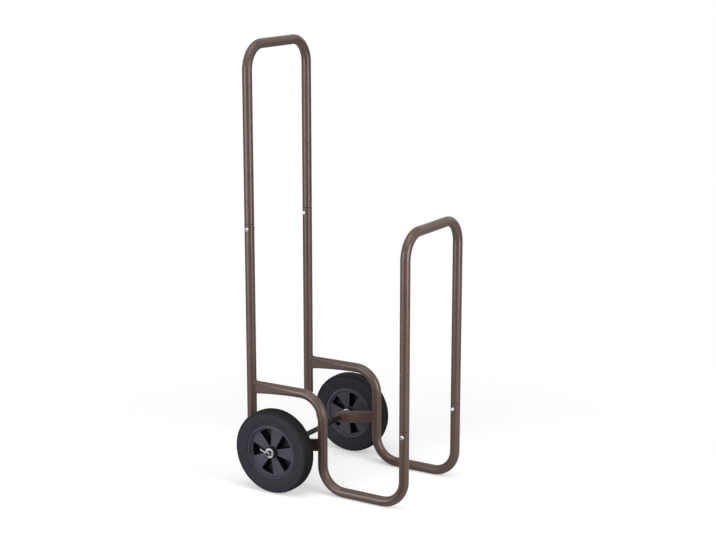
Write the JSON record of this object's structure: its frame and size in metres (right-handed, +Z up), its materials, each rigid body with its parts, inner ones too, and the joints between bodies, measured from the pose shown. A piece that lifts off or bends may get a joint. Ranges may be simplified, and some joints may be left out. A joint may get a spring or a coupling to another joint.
{
  "type": "fireside log cart",
  "caption": "Two-wheeled tubular steel cart for carrying and storing firewood: tall handle hoop behind, lower hoop in front, open bay between bent side frames.",
  "frame": {"origin": "on the floor, at the centre of the cart's bounding box", "axes": "+X forwards, to the front hoop; +Y to the cart's left, along the axle; +Z up"},
  "size_m": [0.42, 0.3906, 1],
  "materials": {
    "frame_coat": "bronze-brown powder coat, satin with a fine metallic fleck",
    "plug_moulding": "dark brown moulded plastic, matt",
    "axle_steel": "zinc-plated steel bar, dulled",
    "tyre_rubber": "charcoal rubber, matt, with a moulded block tread",
    "rim_moulding": "dark grey moulded plastic, matt",
    "bush_nylon": "black nylon, plain",
    "washer_zinc": "bright zinc plate, stamped",
    "pin_zinc": "bright zinc plate on bent wire",
    "bolt_zinc": "bright zinc plate"
  },
  "bodies": {
    "frame": {"handle_hoop": "frame_coat", "front_hoop": "frame_coat", "rear_leg_left": "frame_coat", "rear_leg_right": "frame_coat", "side_rail_left": "frame_coat", "side_rail_right": "frame_coat", "leg_plug_left": "plug_moulding", "leg_plug_right": "plug_moulding", "axle": "axle_steel", "axle_bracket_left": "frame_coat", "axle_bracket_right": "frame_coat", "axle_boss_left": "frame_coat", "axle_boss_right": "frame_coat", "inner_washers": "washer_zinc", "outer_washers": "washer_zinc", "split_pins": "pin_zinc", "handle_bolts": "bolt_zinc", "handle_nuts": "bolt_zinc", "front_hoop_bolts": "bolt_zinc", "front_hoop_nuts": "bolt_zinc"},
    "wheel_left": {"tyre_left": "tyre_rubber", "wheel_rim_left": "rim_moulding", "hub_bushes_left": "bush_nylon"},
    "wheel_right": {"tyre_right": "tyre_rubber", "wheel_rim_right": "rim_moulding", "hub_bushes_right": "bush_nylon"}
  },
  "joints": [
    {"name": "wheel_left_spin", "type": "hinge", "parent": "frame", "child": "wheel_left", "pos_m": [-0.1065, 0.165, 0.096], "axis": [0, 1, 0], "continuous": true},
    {"name": "wheel_right_spin", "type": "hinge", "parent": "frame", "child": "wheel_right", "pos_m": [-0.1065, -0.165, 0.096], "axis": [0, 1, 0], "continuous": true}
  ]
}
